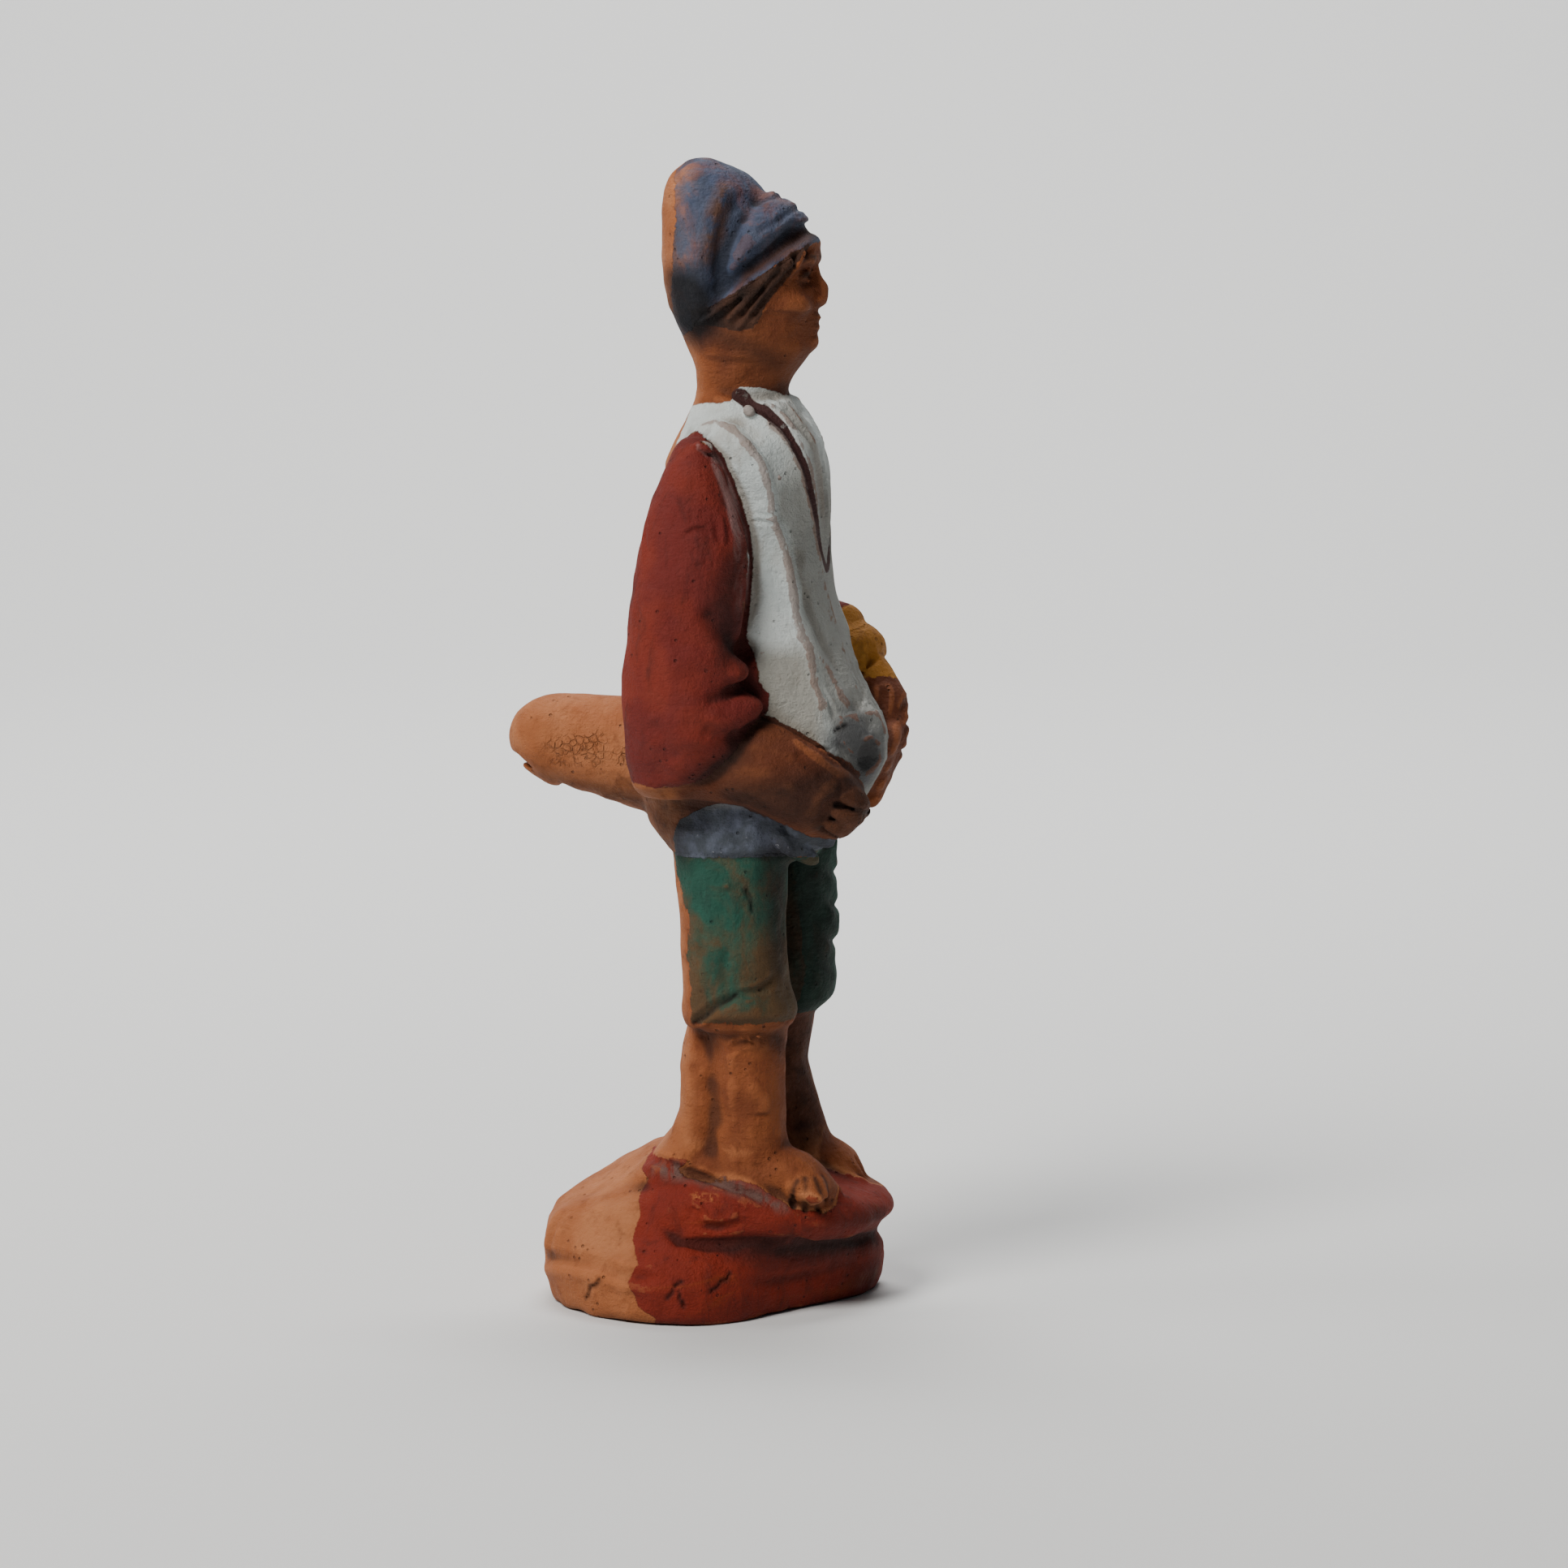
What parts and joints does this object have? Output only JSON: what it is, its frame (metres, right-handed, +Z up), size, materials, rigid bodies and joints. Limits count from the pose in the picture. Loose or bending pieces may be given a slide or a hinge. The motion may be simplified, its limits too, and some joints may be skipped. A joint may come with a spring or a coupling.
{
  "type": "clay whistle figurine",
  "caption": "Painted clay whistle shaped as a standing child on a rocky base, with a mouthpiece that leaves the back and a window under it.",
  "frame": {"origin": "middle of the flat underside of the base, below the figure", "axes": "+Z up, +X the way the figure looks, so the mouthpiece points along -X and its right side is at -Y"},
  "size_m": [0.0613, 0.0526, 0.178],
  "materials": {
    "painted_clay": "matte fired clay with worn matte paint"
  },
  "bodies": {
    "root": {"whistle_figurine": "painted_clay"}
  },
  "joints": []
}
